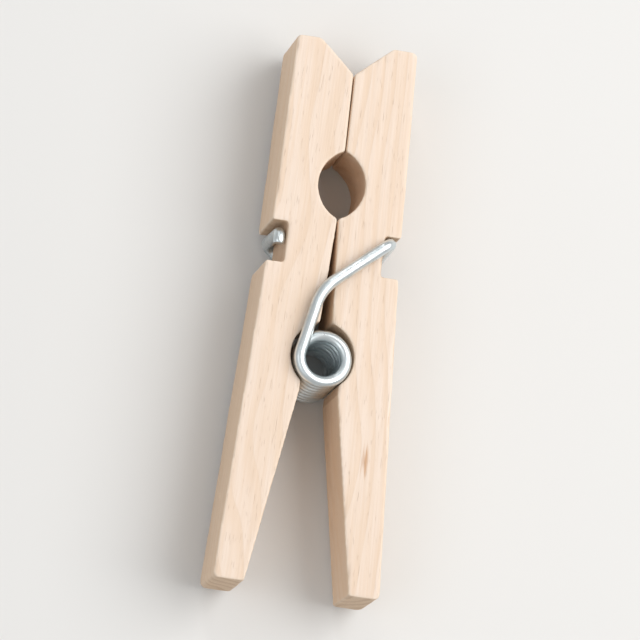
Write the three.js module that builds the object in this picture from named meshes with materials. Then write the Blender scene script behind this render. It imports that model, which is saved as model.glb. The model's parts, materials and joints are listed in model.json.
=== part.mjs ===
// Mini wooden spring clothespin, millimetres, lying on its side.
// +Y points to the jaw tips, X runs across the two levers, and Z is the axis of the spring's coil.
// The pin has two identical wooden levers and one torsion spring. It looks the same after half a turn
// about its long centre line, so the right side is designed here and the left side is a turned copy.
// The spring is one wire. It is drawn as a coil and two arms, because each arm moves with its lever.
import * as THREE from "three";

// Driving dimensions. Places along the pin are distances from the jaw tips.
const LENGTH = 48;
const WOOD_WIDTH = 6.6; // along the coil axis
const WIRE_DIAMETER = 1;
const ARM_CLEARANCE = 0.12; // between a spring arm and the side face it crosses

const JAW = {
  tipInner: 3.2, // half the V-shaped mouth between the jaw tips
  tipOuter: 5.35,
  cornerRadius: 0.5,
  gripFace: 0.05, // half the gap between the closed jaws
  gripStart: 2.8,
};
const LINE_HOLE = { start: 9.7, end: 15.7, depth: 2 }; // each lever holds half of this pointed oval
const NOTCH = { start: 16.6, end: 20.2, floor: 4.25, jawRim: 5.7, handleRim: 5.85 };
const COIL = { fromTip: 28.1, radius: 2.05, turns: 8 }; // radius of the wire's centre line
const SEAT = { inward: 0.25, forward: 0.3, radius: 3, webGap: 0.5 }; // hollow that holds the coil
const HANDLE = { lipGap: 1.65, lipEnd: 31, tailInner: 4.5, tailOuter: 7.2, cornerRadius: 0.6 };

const ARM = {
  leaveAngle: THREE.MathUtils.degToRad(169), // where the wire leaves the coil, seen along the axis
  rise: 0.06, // the coil's end lies this far below the arm's plane
  riseLength: 1.2,
  elbow: { x: -0.85, fromTip: 22.2, radius: 4.5 },
  leg: { x: 4.83, fromTip: 17.2, radius: 0.95, cover: 0.92, slant: 0.35 }, // cover: share of the width
  hook: { length: 1, radius: 0.6 }, // turned-in end of the leg
  startGap: 0.05, // keeps the arm's cut end clear of the coil's
};

const WIRE_SIDES = 10;
const COIL_STEPS_PER_TURN = 20;
const ARM_STEPS = 72;
const ARC_STEPS = 12;

const woodBottom = WIRE_DIAMETER + ARM_CLEARANCE;
const height = WOOD_WIDTH + 2 * woodBottom;
const armPlane = height - WIRE_DIAMETER / 2;
const coilTop = armPlane - ARM.rise;
const fromTip = (distance) => LENGTH / 2 - distance;
const coilY = fromTip(COIL.fromTip);

const birch = { color: 0xe6c9a2, roughness: 0.75, metalness: 0 };
const zincWire = { color: 0xc9cdd0, roughness: 0.3, metalness: 1 };

function namedMesh(name, geometry, finish) {
  const mesh = new THREE.Mesh(geometry, new THREE.MeshStandardMaterial(finish));
  mesh.name = name;
  return mesh;
}

// The right lever seen along the coil axis: down its inner side, round the tail and up its back.
function leverOutline() {
  const outline = new THREE.Shape();
  const tip = fromTip(0);
  const tail = fromTip(LENGTH);
  outline.moveTo(JAW.tipInner, tip);
  outline.lineTo(JAW.gripFace, fromTip(JAW.gripStart));
  outline.lineTo(JAW.gripFace, fromTip(LINE_HOLE.start));

  const halfChord = (LINE_HOLE.end - LINE_HOLE.start) / 2;
  const holeRadius = (halfChord ** 2 + LINE_HOLE.depth ** 2) / (2 * LINE_HOLE.depth);
  const holeX = JAW.gripFace + LINE_HOLE.depth - holeRadius;
  const holeY = fromTip(LINE_HOLE.start + halfChord);
  const holeAngle = Math.asin(halfChord / holeRadius);
  outline.absarc(holeX, holeY, holeRadius, holeAngle, -holeAngle, true);

  const webAngle = Math.acos((SEAT.webGap + SEAT.inward) / SEAT.radius);
  const lipAngle = -Math.acos((HANDLE.lipGap + SEAT.inward) / SEAT.radius);
  outline.absarc(-SEAT.inward, coilY + SEAT.forward, SEAT.radius, webAngle, lipAngle, true);
  outline.lineTo(HANDLE.lipGap, fromTip(HANDLE.lipEnd));

  outline.lineTo(HANDLE.tailInner, tail);
  outline.lineTo(HANDLE.tailOuter - HANDLE.cornerRadius, tail);
  outline.quadraticCurveTo(HANDLE.tailOuter, tail, HANDLE.tailOuter, tail + HANDLE.cornerRadius);
  outline.lineTo(NOTCH.handleRim, fromTip(NOTCH.end));
  outline.lineTo(NOTCH.floor, fromTip(NOTCH.end));
  outline.lineTo(NOTCH.floor, fromTip(NOTCH.start));
  outline.lineTo(NOTCH.jawRim, fromTip(NOTCH.start));
  outline.lineTo(JAW.tipOuter, tip - JAW.cornerRadius);
  outline.quadraticCurveTo(JAW.tipOuter, tip, JAW.tipOuter - JAW.cornerRadius, tip);
  outline.closePath();
  return outline;
}

function lever(name) {
  const options = { depth: WOOD_WIDTH, bevelEnabled: false, curveSegments: ARC_STEPS };
  const geometry = new THREE.ExtrudeGeometry(leverOutline(), options);
  geometry.translate(0, 0, woodBottom);
  return namedMesh(name, geometry, birch);
}

function wire(name, path, steps) {
  const section = new THREE.Shape();
  section.absarc(0, 0, WIRE_DIAMETER / 2, 0, 2 * Math.PI);
  const options = { steps, curveSegments: WIRE_SIDES / 2, extrudePath: path };
  return namedMesh(name, new THREE.ExtrudeGeometry(section, options), zincWire);
}

// The coil's centre line, from the right arm's end at the top down to the left arm's end.
class CoilLine extends THREE.Curve {
  constructor() {
    super();
    this.sweep = 2 * Math.PI * COIL.turns - (2 * ARM.leaveAngle - Math.PI);
    this.arcLengthDivisions = COIL.turns * COIL_STEPS_PER_TURN;
  }

  getPoint(t, target = new THREE.Vector3()) {
    const angle = ARM.leaveAngle + t * this.sweep;
    const x = COIL.radius * Math.cos(angle);
    const y = coilY + COIL.radius * Math.sin(angle);
    return target.set(x, y, THREE.MathUtils.lerp(coilTop, height - coilTop, t));
  }
}

// Straight runs between the corners, with a round bend of the given radius at each corner.
function bentPath(start, corners, end) {
  const path = new THREE.CurvePath();
  let from = start;
  corners.forEach(({ point, radius }, i) => {
    const next = i + 1 < corners.length ? corners[i + 1].point : end;
    const incoming = point.clone().sub(from).normalize();
    const outgoing = next.clone().sub(point).normalize();
    const turn = incoming.angleTo(outgoing);
    const reach = radius * Math.tan(turn / 2);
    const handle = (4 / 3) * Math.tan(turn / 4) * radius;
    const enter = point.clone().addScaledVector(incoming, -reach);
    const leave = point.clone().addScaledVector(outgoing, reach);
    const enterHandle = enter.clone().addScaledVector(incoming, handle);
    const leaveHandle = leave.clone().addScaledVector(outgoing, -handle);
    path.add(new THREE.LineCurve3(from, enter));
    path.add(new THREE.CubicBezierCurve3(enter, enterHandle, leaveHandle, leave));
    from = leave;
  });
  path.add(new THREE.LineCurve3(from, end));
  return path;
}

// The right arm leaves the coil on the left and crosses the top side face to the notch. There its leg
// turns down across the lever's back and ends in a small hook towards the handle.
function springArm(name) {
  const coilX = COIL.radius * Math.cos(ARM.leaveAngle);
  const tangentY = coilY + COIL.radius * Math.sin(ARM.leaveAngle);
  const away = new THREE.Vector3(Math.sin(ARM.leaveAngle), -Math.cos(ARM.leaveAngle), 0);
  const start = new THREE.Vector3(coilX, tangentY, coilTop).addScaledVector(away, ARM.startGap);
  const flat = new THREE.Vector3(coilX, tangentY, armPlane).addScaledVector(away, ARM.riseLength);
  const elbow = new THREE.Vector3(ARM.elbow.x, fromTip(ARM.elbow.fromTip), armPlane);
  const top = new THREE.Vector3(ARM.leg.x, fromTip(ARM.leg.fromTip), armPlane);
  const foot = top.clone().setZ(woodBottom + (1 - ARM.leg.cover) * WOOD_WIDTH);
  foot.y -= ARM.leg.slant;
  const end = foot.clone().setY(foot.y - ARM.hook.length);
  const corners = [
    { point: flat, radius: ARM.elbow.radius },
    { point: elbow, radius: ARM.elbow.radius },
    { point: top, radius: ARM.leg.radius },
    { point: foot, radius: ARM.hook.radius },
  ];
  return wire(name, bentPath(start, corners, end), ARM_STEPS);
}

const rightSide = new THREE.Group();
rightSide.add(lever("right_lever"), springArm("right_spring_arm"));

const leftSide = new THREE.Group();
leftSide.add(lever("left_lever"), springArm("left_spring_arm"));
leftSide.rotation.y = Math.PI;
leftSide.position.z = height;

const clothespin = new THREE.Group();
const coilSteps = COIL.turns * COIL_STEPS_PER_TURN;
clothespin.add(rightSide, leftSide, wire("spring_coil", new CoilLine(), coilSteps));

export default clothespin;
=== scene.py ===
"""Small wooden spring clothespin lying on its side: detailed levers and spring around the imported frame.

Lengths in this file are millimetres unless a name ends in _M; MM turns them into Blender's metres.
+Y points to the jaw tips, X runs across the levers, and Z is the coil's axis.
"""

import json
import math
from types import SimpleNamespace

import bpy
import numpy as np
from mathutils import Matrix, Vector, noise


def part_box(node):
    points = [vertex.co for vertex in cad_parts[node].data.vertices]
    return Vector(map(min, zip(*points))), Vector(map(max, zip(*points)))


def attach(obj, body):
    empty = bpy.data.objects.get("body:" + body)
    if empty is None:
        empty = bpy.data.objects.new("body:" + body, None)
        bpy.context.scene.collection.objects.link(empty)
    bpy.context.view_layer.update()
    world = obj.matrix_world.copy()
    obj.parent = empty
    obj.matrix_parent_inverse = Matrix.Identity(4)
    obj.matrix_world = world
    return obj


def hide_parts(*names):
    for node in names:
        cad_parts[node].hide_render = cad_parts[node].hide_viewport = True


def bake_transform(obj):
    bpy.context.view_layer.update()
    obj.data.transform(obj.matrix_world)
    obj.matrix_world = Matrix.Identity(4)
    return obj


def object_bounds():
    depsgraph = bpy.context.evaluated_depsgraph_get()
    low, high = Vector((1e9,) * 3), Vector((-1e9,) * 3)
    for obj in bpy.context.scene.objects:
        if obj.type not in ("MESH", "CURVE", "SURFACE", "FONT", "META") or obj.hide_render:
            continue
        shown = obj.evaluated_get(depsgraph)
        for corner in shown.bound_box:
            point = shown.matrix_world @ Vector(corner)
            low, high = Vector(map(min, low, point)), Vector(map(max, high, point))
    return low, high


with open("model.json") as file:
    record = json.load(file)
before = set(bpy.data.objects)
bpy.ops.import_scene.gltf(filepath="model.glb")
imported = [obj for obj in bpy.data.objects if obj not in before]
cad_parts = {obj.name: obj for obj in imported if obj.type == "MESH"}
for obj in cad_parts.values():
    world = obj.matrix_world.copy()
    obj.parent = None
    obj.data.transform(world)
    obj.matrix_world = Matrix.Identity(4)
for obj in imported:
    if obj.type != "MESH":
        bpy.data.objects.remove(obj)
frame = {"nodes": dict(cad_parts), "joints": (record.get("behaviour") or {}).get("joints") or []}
cad_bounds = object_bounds()

MM = 0.001
HEIGHT = cad_bounds[1].z / MM
HINGE_Y = frame["joints"][0]["pos_m"][1] / MM


# ---------------------------------------------------------------- camera, floor and light

CAMERA_TILT_LEFT = 10
CAMERA_TILT_TAIL = 13
JAW_LEAN = 6.5  # how far the jaws lean to the right in the picture, in degrees
CAMERA_DISTANCE = 420
CAMERA_LENS = 275
FLOOR_HALF_M = 1.5


def direction(azimuth, elevation):
    """The unit vector from the object towards a place round it; azimuth 0 is on the -Y side."""
    flat = math.cos(elevation)
    return Vector((math.sin(azimuth) * flat, -math.cos(azimuth) * flat, math.sin(elevation)))


def add_object(name, data):
    obj = bpy.data.objects.new(name, data)
    bpy.context.scene.collection.objects.link(obj)
    return obj


def make_camera():
    """A long lens above the pin, a little to its left and towards the handle ends."""
    left, tail = (math.tan(math.radians(angle)) for angle in (CAMERA_TILT_LEFT, CAMERA_TILT_TAIL))
    away = Vector((-left, -tail, 1)).normalized()
    jaws = Vector((0, 1, 0)) - away.y * away
    up = Matrix.Rotation(math.radians(JAW_LEAN), 3, away) @ jaws.normalized()
    camera = add_object("camera", bpy.data.cameras.new("camera"))
    camera.data.lens = CAMERA_LENS
    camera.data.clip_start = 0.01
    camera.data.clip_end = 10
    turn = Matrix((up.cross(away), up, away)).transposed()
    centre = Vector((0, 0, HEIGHT / 2)) * MM
    camera.matrix_world = Matrix.Translation(centre + away * CAMERA_DISTANCE * MM) @ turn.to_4x4()
    bpy.context.scene.camera = camera


def add_softbox(name, azimuth, elevation, distance, size, watts, colour):
    """A rectangular area light that faces the object; size is (width, height)."""
    lamp = bpy.data.lights.new(name, "AREA")
    lamp.shape = "RECTANGLE"
    lamp.size, lamp.size_y = (side * MM for side in size)
    lamp.energy = watts
    lamp.color = colour
    softbox = add_object(name, lamp)
    away = direction(math.radians(azimuth), math.radians(elevation))
    softbox.location = away * distance * MM
    softbox.rotation_euler = away.to_track_quat("Z", "Y").to_euler()


def make_light():
    world = bpy.data.worlds.new("studio")
    bpy.context.scene.world = world
    world.use_nodes = True
    background = world.node_tree.nodes["Background"]
    background.inputs["Color"].default_value = (1.0, 0.995, 0.985, 1)
    background.inputs["Strength"].default_value = 0.5
    add_softbox("key", 108, 52, 420, (420, 380), 1.65, (1.0, 0.985, 0.965))
    add_softbox("fill", 290, 50, 420, (300, 200), 0.25, (0.96, 0.98, 1.0))
    add_softbox("strip", 200, 40, 380, (40, 300), 0.12, (1.0, 1.0, 1.0))


# ---------------------------------------------------------------- node helpers

class Tree:
    """Adds nodes to one material. Inputs are sockets, which are linked, or plain values."""

    def __init__(self, material):
        material.use_nodes = True
        self.tree = material.node_tree
        self.shader = self.tree.nodes["Principled BSDF"]

    def add(self, kind, inputs=None, **settings):
        node = self.tree.nodes.new(kind)
        for name, value in settings.items():
            setattr(node, name, value)
        for name, value in (inputs or {}).items():
            self.feed(node.inputs[name], value)
        return node

    def feed(self, socket, value):
        if isinstance(value, bpy.types.NodeSocket):
            self.tree.links.new(value, socket)
        else:
            socket.default_value = value

    def math(self, operation, *values):
        node = self.add("ShaderNodeMath", operation=operation)
        for socket, value in zip(node.inputs, values):
            self.feed(socket, value)
        return node.outputs[0]

    def band(self, value, low, high, to_low=0.0, to_high=1.0):
        """value moved smoothly from the range low..high to the range to_low..to_high."""
        inputs = {"Value": value, "From Min": low, "From Max": high, "To Min": to_low, "To Max": to_high}
        return self.add("ShaderNodeMapRange", inputs, interpolation_type="SMOOTHSTEP").outputs[0]

    def mix(self, share, a, b):
        """Colour a with a share, from 0 to 1, of colour b."""
        node = self.add("ShaderNodeMix", data_type="RGBA")
        self.feed(node.inputs[0], share)
        self.feed(node.inputs[6], a)
        self.feed(node.inputs[7], b)
        return node.outputs[2]

    def scaled(self, vector, scale, offset=(0, 0, 0), turn=(0, 0, 0)):
        inputs = {"Vector": vector, "Scale": scale, "Location": offset, "Rotation": turn}
        return self.add("ShaderNodeMapping", inputs).outputs[0]

    def noise(self, vector, scale=1.0, detail=3.0, roughness=0.5):
        inputs = {"Vector": vector, "Scale": scale, "Detail": detail, "Roughness": roughness}
        return self.add("ShaderNodeTexNoise", inputs).outputs[0]

    def attribute(self, name, output="Fac"):
        return self.add("ShaderNodeAttribute", attribute_name=name).outputs[output]

    def bump(self, height, depth, strength=1.0, normal=None):
        """depth is how far, in millimetres, a height of 1 stands proud."""
        inputs = {"Height": height, "Distance": depth * MM, "Strength": strength}
        if normal:
            inputs["Normal"] = normal
        return self.add("ShaderNodeBump", inputs).outputs[0]


def rgb(red, green, blue):
    return (red, green, blue, 1)


# ---------------------------------------------------------------- wood

BIRCH = {
    "early": rgb(0.80, 0.675, 0.58),
    "late": rgb(0.72, 0.545, 0.40),
    "streak": rgb(0.76, 0.595, 0.46),
    "mottle": rgb(0.77, 0.62, 0.50),
    "fibre": rgb(0.62, 0.43, 0.27),
    "pore": rgb(0.45, 0.29, 0.16),
    # back: painted shade, a darker tan for the faces that look across the pin, along X
    "back": rgb(0.73, 0.51, 0.32),
    "end_early": rgb(0.69, 0.515, 0.36),
    "end_late": rgb(0.50, 0.33, 0.20),
    "end_speckle": rgb(0.55, 0.37, 0.23),
    "end_pore": rgb(0.33, 0.20, 0.11),
    # a darker brown for the routed walls: partly router burn, partly painted shade in the hole, notch and
    # seat
    "scorch_and_shade": rgb(0.54, 0.35, 0.22),
    # a lighter colour for the edges that stand out: partly rubbed wood, partly a painted highlight
    "worn_and_highlit": rgb(0.84, 0.73, 0.61),
    "fleck": rgb(0.50, 0.27, 0.13),
}
RINGS_PER_MM = 0.75
RING_WARP = 5.0
FLECK = (4.65, -12.3, 7.7)  # middle of the brown mineral streak on the right handle
FLECK_SIZE = (0.36, 1.5, 0.9)


def growth_rings(t, plank):
    """Wide early bands, 0, that each end in a thin late line, 1, and wander slowly along the grain."""
    warp = t.noise(t.scaled(plank, (0.09, 0.03, 0.09)), detail=2)
    across = t.add("ShaderNodeSeparateXYZ", {"Vector": plank})
    x, z = across.outputs[0], across.outputs[2]
    distance = t.math("SQRT", t.math("ADD", t.math("MULTIPLY", x, x), t.math("MULTIPLY", z, z)))
    phase = t.math("ADD", t.math("MULTIPLY", distance, RINGS_PER_MM), t.math("MULTIPLY", warp, RING_WARP))
    ring = t.math("FRACT", phase)
    return t.math("MULTIPLY", t.band(ring, 0.35, 0.93), t.band(ring, 0.95, 1.0, 1.0, 0.0))


def wood_patterns(t, place, plank):
    """The patterns that run through the wood, from 0 to 1, with saw marks fixed to the pin's own frame."""
    return SimpleNamespace(
        late=growth_rings(t, plank),
        fibre=t.noise(t.scaled(plank, (5.5, 0.16, 5.5)), detail=4, roughness=0.6),
        streak=t.noise(t.scaled(plank, (1.9, 0.05, 1.9)), detail=3),
        mottle=t.noise(t.scaled(plank, (0.35, 0.1, 0.35)), detail=2),
        pore=t.band(t.noise(t.scaled(plank, (10, 0.8, 10)), detail=1), 0.66, 0.76),
        speckle=t.noise(t.scaled(plank, (6, 6, 6)), detail=3, roughness=0.7),
        saw=t.noise(t.scaled(place, (0.3, 0.3, 4.5)), detail=2),
    )


def wood_zones(t, normal):
    """Where a lever is cut across the grain, faces along X (painted shade there), stands out at an edge
    (rubbed and painted lighter, a painted highlight) or is routed, each from 0 to 1.
    """
    facing = t.add("ShaderNodeSeparateXYZ", {"Vector": normal})
    return SimpleNamespace(
        end_grain=t.band(t.math("ABSOLUTE", facing.outputs[1]), 0.35, 0.95),
        back=t.band(t.math("ABSOLUTE", facing.outputs[0]), 0.4, 0.95),
        edge_wear_and_highlight=t.attribute("edge_wear_and_highlight"),
        routed=t.attribute("routed"),
    )


def side_colour(t, wood, zones, tone):
    """The colour along the grain."""
    colour = t.mix(t.math("MULTIPLY", wood.late, 0.55), BIRCH["early"], BIRCH["late"])
    colour = t.mix(t.band(wood.streak, 0.35, 0.7, 0.0, 0.5), colour, BIRCH["streak"])
    colour = t.mix(t.band(wood.mottle, 0.3, 0.7, 0.0, tone), colour, BIRCH["mottle"])
    colour = t.mix(t.band(wood.fibre, 0.25, 0.7, 0.2, 0.0), colour, BIRCH["fibre"])
    colour = t.mix(t.math("MULTIPLY", wood.pore, 0.18), colour, BIRCH["pore"])
    # Faces that look along X take a share of the darker back colour: painted shade, not a different
    # finish.
    return t.mix(t.math("MULTIPLY", zones.back, 0.5), colour, BIRCH["back"])


def end_colour(t, wood):
    """The colour where the grain is cut across."""
    colour = t.mix(t.math("MULTIPLY", wood.late, 0.75), BIRCH["end_early"], BIRCH["end_late"])
    colour = t.mix(t.band(wood.speckle, 0.3, 0.65, 0.35, 0.0), colour, BIRCH["end_speckle"])
    return t.mix(t.math("MULTIPLY", wood.pore, 0.45), colour, BIRCH["end_pore"])


def with_fleck(t, colour, place, wood):
    """colour with the brown streak, whose edge frays along the fibre."""
    centre = tuple(-c / s for c, s in zip(FLECK, FLECK_SIZE))
    near = t.scaled(place, tuple(1 / s for s in FLECK_SIZE), centre)
    away = t.add("ShaderNodeVectorMath", {"Vector": near}, operation="LENGTH").outputs["Value"]
    away = t.math("ADD", away, t.band(wood.fibre, 0.3, 0.7, -0.35, 0.35))
    return t.mix(t.band(away, 0.25, 1.05, 0.75, 0.0), colour, BIRCH["fleck"])


def wood_normal(t, wood, zones):
    """Raised fibre and sunk pores everywhere, and saw marks where the wood is cut across or routed."""
    grain = t.math("ADD", t.math("MULTIPLY", wood.fibre, 0.7), t.math("MULTIPLY", wood.late, -0.2))
    grain = t.math("SUBTRACT", grain, t.math("MULTIPLY", wood.pore, 0.5))
    cut = t.math("MAXIMUM", zones.routed, zones.end_grain)
    marks = t.math("ADD", wood.saw, t.math("MULTIPLY", wood.speckle, 0.7))
    return t.bump(t.math("MULTIPLY", cut, marks), 0.05, 0.8, t.bump(grain, 0.05, 0.8))


def make_wood(name, offset, turn, tone, fleck=False):
    """Bare birch. offset and turn place the lever in the plank it was cut from, and tone warms it."""
    material = bpy.data.materials.new(name)
    t = Tree(material)
    coordinates = t.add("ShaderNodeTexCoord").outputs
    place = t.scaled(coordinates["Object"], (1 / MM,) * 3)
    plank = t.scaled(place, (1, 1, 1), offset, turn)
    wood = wood_patterns(t, place, plank)
    zones = wood_zones(t, coordinates["Normal"])

    colour = side_colour(t, wood, zones, tone)
    colour = t.mix(t.math("MULTIPLY", zones.end_grain, 0.85), colour, end_colour(t, wood))
    # The routed walls are painted darker brown: partly router burn, partly painted shade in these
    # recesses.
    scorch_and_shade = t.math("MULTIPLY", zones.routed, t.band(wood.mottle, 0.3, 0.7, 0.35, 0.6))
    colour = t.mix(scorch_and_shade, colour, BIRCH["scorch_and_shade"])
    # Edges that stand out are painted lighter: partly rubbed wood, partly a painted highlight.
    colour = t.mix(t.band(zones.edge_wear_and_highlight, 0.1, 0.7, 0.0, 0.45), colour, BIRCH["worn_and_highlit"])
    if fleck:
        colour = with_fleck(t, colour, place, wood)
    t.feed(t.shader.inputs["Base Color"], colour)

    t.feed(t.shader.inputs["Roughness"], t.band(wood.fibre, 0.3, 0.7, 0.78, 0.62))
    t.shader.inputs["Specular IOR Level"].default_value = 0.35
    t.feed(t.shader.inputs["Normal"], wood_normal(t, wood, zones))
    return material


# ---------------------------------------------------------------- metal and floor

def make_wire_metal():
    """Bright zinc-plated spring steel with fine lines drawn along the wire."""
    material = bpy.data.materials.new("zinc_wire")
    t = Tree(material)
    place = t.attribute("wire_place", "Vector")
    lines = t.noise(t.scaled(place, (0.25, 7, 7)), detail=3, roughness=0.6)
    patches = t.noise(t.scaled(place, (0.9, 1.1, 1.1)), detail=4, roughness=0.6)
    colour = t.mix(t.band(patches, 0.35, 0.7), rgb(0.765, 0.815, 0.83), rgb(0.60, 0.665, 0.69))
    colour = t.mix(t.band(lines, 0.5, 0.8, 0.0, 0.3), colour, rgb(0.42, 0.45, 0.45))
    t.feed(t.shader.inputs["Base Color"], colour)
    t.shader.inputs["Metallic"].default_value = 1
    t.feed(t.shader.inputs["Roughness"], t.band(patches, 0.3, 0.75, 0.27, 0.45))
    height = t.math("ADD", t.math("MULTIPLY", lines, 0.6), t.math("MULTIPLY", patches, 0.5))
    t.feed(t.shader.inputs["Normal"], t.bump(height, 0.012, 0.6))
    return material


def make_floor():
    """A plain pale tabletop, much larger than the view."""
    mesh = bpy.data.meshes.new("floor")
    corners = [(x * FLOOR_HALF_M, y * FLOOR_HALF_M, 0) for x, y in ((-1, -1), (1, -1), (1, 1), (-1, 1))]
    mesh.from_pydata(corners, [], [(0, 1, 2, 3)])
    floor = add_object("floor", mesh)
    material = bpy.data.materials.new("pale_floor")
    t = Tree(material)
    coordinates = t.add("ShaderNodeTexCoord").outputs["Object"]
    cloud = t.noise(coordinates, scale=18, detail=2)
    colour = t.mix(cloud, rgb(0.69, 0.685, 0.675), rgb(0.71, 0.708, 0.70))
    t.feed(t.shader.inputs["Base Color"], colour)
    t.shader.inputs["Roughness"].default_value = 0.7
    mesh.materials.append(material)


# ---------------------------------------------------------------- levers

VOXEL = 0.14
EDGE_ROUNDINGS = 4  # rounds of smoothing that soften the edges
WEAR_ROUNDINGS = 8  # further rounds, whose effect shows where the edges stand out
WAVE_DEPTH, WAVE_RATES = 0.022, (0.8, 0.2, 0.8)  # how far the faces are from flat, and how quickly that
FIBRE_DEPTH, FIBRE_RATES = 0.008, (3.5, 0.35, 3.5)  # changes along X, Y and Z
CHIPS = 70
CHIPPED_WEAR = 0.6  # chips lie where the wear is over this share of the greatest
CHIP_SMALLEST = (0.1, 0.15, 0.015)  # half width, half length along the grain, depth
CHIP_LARGEST = (0.17, 1.1, 0.075)

# The routed walls, by distance from the pin's long centre line, and by y.
HOLE_REACH, HOLE_Y = 2.15, (8.25, 14.35)
NOTCH_X, NOTCH_Y = (4.1, 5.9), (3.7, 7.5)
SEAT_REACH = 3.35  # from the coil's axis
WALL_NORMAL_Z = 0.6  # a wall's normal has less Z than this


def read_array(items, attribute, kind=np.float32, width=3):
    values = np.empty(len(items) * width, kind)
    items.foreach_get(attribute, values)
    return values.reshape(-1, width)


def outline_of(node):
    """The CAD lever's outline seen along the coil axis, in millimetres."""
    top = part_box(node)[1].z / MM
    mesh = frame["nodes"][node].data
    edges = set()
    for face in mesh.polygons:
        corners = [mesh.vertices[v].co / MM for v in face.vertices]
        if all(abs(corner.z - top) < 1e-3 for corner in corners):
            keys = [(round(corner.x, 3), round(corner.y, 3)) for corner in corners]
            edges.update(zip(keys, keys[1:] + keys[:1]))
    following = {a: b for a, b in edges if (b, a) not in edges}
    loop = [max(following)]
    while len(loop) < len(following):
        loop.append(following[loop[-1]])
    return loop


def voxel_prism(outline, low, high):
    """An even quad mesh, in millimetres, of the outline drawn out from low to high."""
    count = len(outline)
    corners = [(x, y, z) for z in (low, high) for x, y in outline]
    walls = [(i, (i + 1) % count, (i + 1) % count + count, i + count) for i in range(count)]
    caps = [tuple(range(count))[::-1], tuple(range(count, 2 * count))]
    prism = bpy.data.meshes.new("prism")
    prism.from_pydata(corners, [], walls + caps)
    scratch = add_object("prism", prism)
    remesh = scratch.modifiers.new("remesh", "REMESH")
    remesh.mode = "VOXEL"
    remesh.voxel_size = VOXEL
    bpy.context.view_layer.update()
    made = scratch.evaluated_get(bpy.context.evaluated_depsgraph_get())
    mesh = bpy.data.meshes.new_from_object(made)
    bpy.data.objects.remove(scratch)
    bpy.data.meshes.remove(prism)
    return mesh


def relaxed(points, edges, rounds):
    """Points drawn half way to the mean of their neighbours, several times."""
    ends = np.concatenate([edges[:, 0], edges[:, 1]])
    others = np.concatenate([edges[:, 1], edges[:, 0]])
    count = np.bincount(ends, minlength=len(points))[:, None]
    for _ in range(rounds):
        sums = [np.bincount(ends, points[others, k], len(points)) for k in range(3)]
        points = (points + np.stack(sums, axis=1) / count) / 2
    return points


def between(values, limits):
    return (values > limits[0]) & (values < limits[1])


def routed(points, normals):
    """1 on the walls of the line hole, the notch and the coil's seat, and 0 elsewhere."""
    x, y = np.abs(points[:, 0]), points[:, 1]
    hole = (x < HOLE_REACH) & between(y, HOLE_Y)
    notch = between(x, NOTCH_X) & between(y, NOTCH_Y)
    seat = np.hypot(x, y - HINGE_Y) < SEAT_REACH
    return (hole | notch | seat) & (np.abs(normals[:, 2]) < WALL_NORMAL_Z)


def noise_at(points, rates, shift):
    return np.array([noise.noise(place) for place in (points * rates + shift).tolist()])


def unevenness(points, edge_wear_and_highlight, seed):
    """How far each point stands proud of a flat face, with small chips along the edges that stand out
    most.
    """
    random = np.random.default_rng(seed)
    offset = random.uniform(0, 100, 3)
    waves = noise_at(points, WAVE_RATES, (offset[0], 0, offset[1]))
    fibres = noise_at(points, FIBRE_RATES, (0, offset[2], 0))
    proud = WAVE_DEPTH * waves + FIBRE_DEPTH * fibres
    worn_and_highlit = np.flatnonzero(edge_wear_and_highlight > CHIPPED_WEAR * edge_wear_and_highlight.max())
    for centre in points[random.choice(worn_and_highlit, CHIPS)]:
        across, along, deep = random.uniform(CHIP_SMALLEST, CHIP_LARGEST)
        away = (points - centre) / (across, along, across)
        proud -= deep * np.exp(-np.sum(away ** 2, axis=1))
    return proud


def make_lever(name, seed, material):
    """A lever with softened, slightly chipped edges and faces that aren't quite flat."""
    low, high = (corner.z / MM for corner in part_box(name))
    mesh = voxel_prism(outline_of(name), low, high)
    edges = read_array(mesh.edges, "vertices", np.int32, 2)
    points = relaxed(read_array(mesh.vertices, "co").astype(float), edges, EDGE_ROUNDINGS)
    mesh.vertices.foreach_set("co", points.astype(np.float32).ravel())
    mesh.update()
    normals = read_array(mesh.vertex_normals, "vector")
    # How far each point stands out at an edge; this places both the chips and the painted highlight.
    edge_wear_and_highlight = np.sum((points - relaxed(points, edges, WEAR_ROUNDINGS)) * normals, axis=1)
    points += normals * unevenness(points, edge_wear_and_highlight, seed)[:, None]

    mesh.vertices.foreach_set("co", (points * MM).astype(np.float32).ravel())
    mesh.shade_smooth()
    mesh.materials.clear()
    mesh.materials.append(material)
    for attribute, values in (("edge_wear_and_highlight", edge_wear_and_highlight / edge_wear_and_highlight.max()), ("routed", routed(points, normals))):
        layer = mesh.attributes.new(attribute, "FLOAT", "POINT")
        layer.data.foreach_set("value", values.astype(np.float32))
    lever = add_object(f"{name}_wood", mesh)
    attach(lever, name)
    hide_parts(name)


# ---------------------------------------------------------------- spring

WIRE_RADIUS = 0.5
WIRE_SIDES = 20
SHARP_ANGLE = math.radians(50)  # edges sharper than this keep their corner
COIL_RADIUS = 2.05  # to the wire's centre line
COIL_TURNS = 8
COIL_STEPS = 56  # in one turn
LEAVE_ANGLE = math.radians(169)  # where the right arm leaves the coil, seen along the axis

# No two turns of the coil are quite alike: depth, rate and start of a slow wave in its radius and height.
RADIUS_WAVE = (0.012, 0.37, 1.0)
HEIGHT_WAVE = (0.006, 0.61, 0.0)

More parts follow.
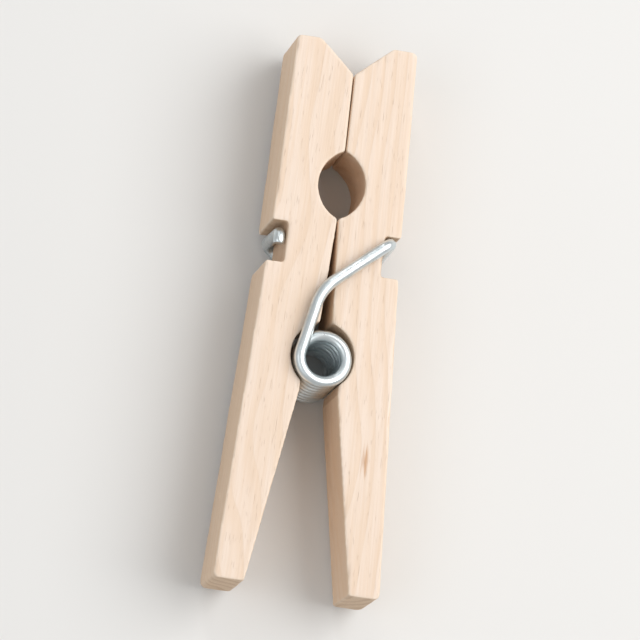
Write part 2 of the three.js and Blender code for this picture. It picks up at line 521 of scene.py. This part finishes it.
PATH_STEP = 0.12  # along an arm
ARM_RISE = 0.06  # the coil's end lies this far below the arm's plane
ELBOW, ELBOW_RADIUS = (-0.85, 1.8), 4.5
LEG, LEG_RADIUS = (4.83, 6.8), 0.95
LEG_SLANT = 0.35  # how much further from the jaw tips the leg's foot is than its top
FOOT_Z = 1.648  # where the leg turns into its hook
HOOK_LENGTH, HOOK_RADIUS = 1.0, 0.6
TONGUE_STEPS = 4  # how far an arm starts inside the coil's wire
TONGUE_SHARE = 0.93  # the arm's thickness there
CUT_END_SHARES = (0.985, 0.84)  # its thickness at the last two steps, which rounds the cut end


def wave(angle, depth, rate, start):
    return depth * np.sin(angle * rate + start)


def coil_line():
    """The coil's centre line, from the right arm at the top to the left arm at the bottom."""
    sweep = 2 * math.pi * COIL_TURNS - (2 * LEAVE_ANGLE - math.pi)
    t = np.linspace(0, 1, COIL_TURNS * COIL_STEPS)
    angle = LEAVE_ANGLE + t * sweep
    top = HEIGHT - WIRE_RADIUS - ARM_RISE
    ease = np.sin(math.pi * t)
    radius = COIL_RADIUS + wave(angle, *RADIUS_WAVE) * ease
    z = top + t * (HEIGHT - 2 * top) + wave(angle, *HEIGHT_WAVE) * ease
    return np.stack([radius * np.cos(angle), HINGE_Y + radius * np.sin(angle), z], axis=1)


def distances_along(line):
    return np.concatenate([[0], np.cumsum(np.linalg.norm(np.diff(line, axis=0), axis=1))])


def even_steps(line):
    """The same line with its points PATH_STEP apart."""
    lengths = distances_along(line)
    at = np.linspace(0, lengths[-1], int(lengths[-1] / PATH_STEP) + 1)
    return np.stack([np.interp(at, lengths, line[:, k]) for k in range(3)], axis=1)


def bent_line(points, radii):
    """Points along straight runs with a round bend of the given radius at each inner corner."""
    line = [points[0]]
    for i, radius in enumerate(radii, start=1):
        corner = points[i]
        back = (points[i - 1] - corner) / np.linalg.norm(points[i - 1] - corner)
        ahead = (points[i + 1] - corner) / np.linalg.norm(points[i + 1] - corner)
        turn = math.pi - math.acos(np.clip(back @ ahead, -1, 1))
        bisector = (back + ahead) / np.linalg.norm(back + ahead)
        centre = corner + bisector * radius / math.cos(turn / 2)
        start = corner + back * radius * math.tan(turn / 2)
        outward = (start - centre) / radius
        for a in np.linspace(0, turn, max(3, int(turn * radius / PATH_STEP) + 2)):
            line.append(centre + radius * (outward * math.cos(a) - back * math.sin(a)))
    line.append(points[-1])
    return even_steps(np.array(line))


def arm_line():
    """The right arm's centre line, from the coil over the side face to the hook on the lever's back."""
    plane = HEIGHT - WIRE_RADIUS
    start = coil_line()[0]
    points = [np.array((start[0], start[1], plane))]
    points += [np.array((*ELBOW, plane)), np.array((*LEG, plane))]
    foot = np.array((LEG[0], LEG[1] - LEG_SLANT, FOOT_Z))
    points += [foot, foot - (0, HOOK_LENGTH, 0)]
    line = bent_line(points, (ELBOW_RADIUS, LEG_RADIUS, HOOK_RADIUS))

    # The arm goes on climbing as steeply as the coil, and levels out within reach.
    pitch = 2 * (start[2] - HEIGHT / 2) / (COIL_TURNS - LEAVE_ANGLE / math.pi + 0.5)
    reach = 2 * ARM_RISE * 2 * math.pi * COIL_RADIUS / pitch
    along = np.arange(len(line)) * PATH_STEP
    line[:, 2] -= ARM_RISE * np.clip(1 - along / reach, 0, 1) ** 2
    return np.concatenate([coil_line()[TONGUE_STEPS:0:-1], line])


def arm_radii(count):
    """The arm's radius at each point: thinner inside the coil's wire, and rounded at the cut end."""
    radii = np.full(count, WIRE_RADIUS)
    radii[:TONGUE_STEPS] *= TONGUE_SHARE
    radii[-2:] *= CUT_END_SHARES
    return radii


def tube_faces(ring_count, ring_size):
    """Quads between neighbouring rings, and a fan to a centre point at each end."""
    faces = []
    for ring in range(ring_count - 1):
        a, b = ring * ring_size, (ring + 1) * ring_size
        for i in range(ring_size):
            j = (i + 1) % ring_size
            faces.append((a + i, a + j, b + j, b + i))
    first, last = ring_count * ring_size, ring_count * ring_size + 1
    tail = (ring_count - 1) * ring_size
    for i in range(ring_size):
        j = (i + 1) % ring_size
        faces.append((j, i, first))
        faces.append((tail + i, tail + j, last))
    return faces


def sweep_wire(line, radii):
    """Rings of a round wire along line, and each point's place along and round the wire."""
    tangent = np.gradient(line, axis=0)
    tangent /= np.linalg.norm(tangent, axis=1)[:, None]
    side = np.cross(tangent[0], (0, 0, 1))
    along = distances_along(line)
    angles = np.arange(WIRE_SIDES) * 2 * math.pi / WIRE_SIDES
    rings, places = [], []
    for i, heading in enumerate(tangent):
        side = side - heading * (side @ heading)
        side /= np.linalg.norm(side)
        other = np.cross(heading, side)
        for a in angles:
            rings.append(line[i] + radii[i] * (side * math.cos(a) + other * math.sin(a)))
            places.append((along[i], WIRE_RADIUS * math.cos(a), WIRE_RADIUS * math.sin(a)))
    places += [(0, 0, 0), (along[-1], 0, 0)]
    return np.array([*rings, line[0], line[-1]]), places


def make_wire(name, line, radii, material, turned=False):
    """A smooth-shaded wire. A turned one is the same after half a turn about the pin's length."""
    points, places = sweep_wire(line, radii)
    if turned:
        points = points * (-1, 1, -1) + (0, 0, HEIGHT)
    mesh = bpy.data.meshes.new(name)
    mesh.from_pydata((points * MM).tolist(), [], tube_faces(len(line), WIRE_SIDES))
    mesh.validate()
    mesh.shade_smooth()
    mesh.set_sharp_from_angle(angle=SHARP_ANGLE)
    mesh.materials.append(material)
    attribute = mesh.attributes.new("wire_place", "FLOAT_VECTOR", "POINT")
    attribute.data.foreach_set("vector", np.array(places, np.float32).ravel())
    wire = add_object(name, mesh)
    return wire


def make_spring(material):
    """Two arms that ride on the levers, and between them a coil."""
    line = arm_line()
    for side in ("left", "right"):
        arm = make_wire(f"{side}_arm_wire", line, arm_radii(len(line)), material, turned=side == "left")
        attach(arm, f"{side}_lever")
        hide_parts(f"{side}_spring_arm")
    line = coil_line()
    coil = make_wire("coil_wire", line, np.full(len(line), WIRE_RADIUS), material)
    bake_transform(coil)
    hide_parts("spring_coil")


# ---------------------------------------------------------------- the scene

bpy.context.scene.view_settings.view_transform = "Standard"
make_camera()
make_light()
make_floor()
left_wood = make_wood("left_birch", (31, 4, 23), (0.02, 0.05, 0.025), 0.35)
right_wood = make_wood("right_birch", (38, -60, -19), (-0.015, -0.04, -0.02), 0.25, fleck=True)
make_lever("left_lever", 3, left_wood)
make_lever("right_lever", 8, right_wood)
make_spring(make_wire_metal())
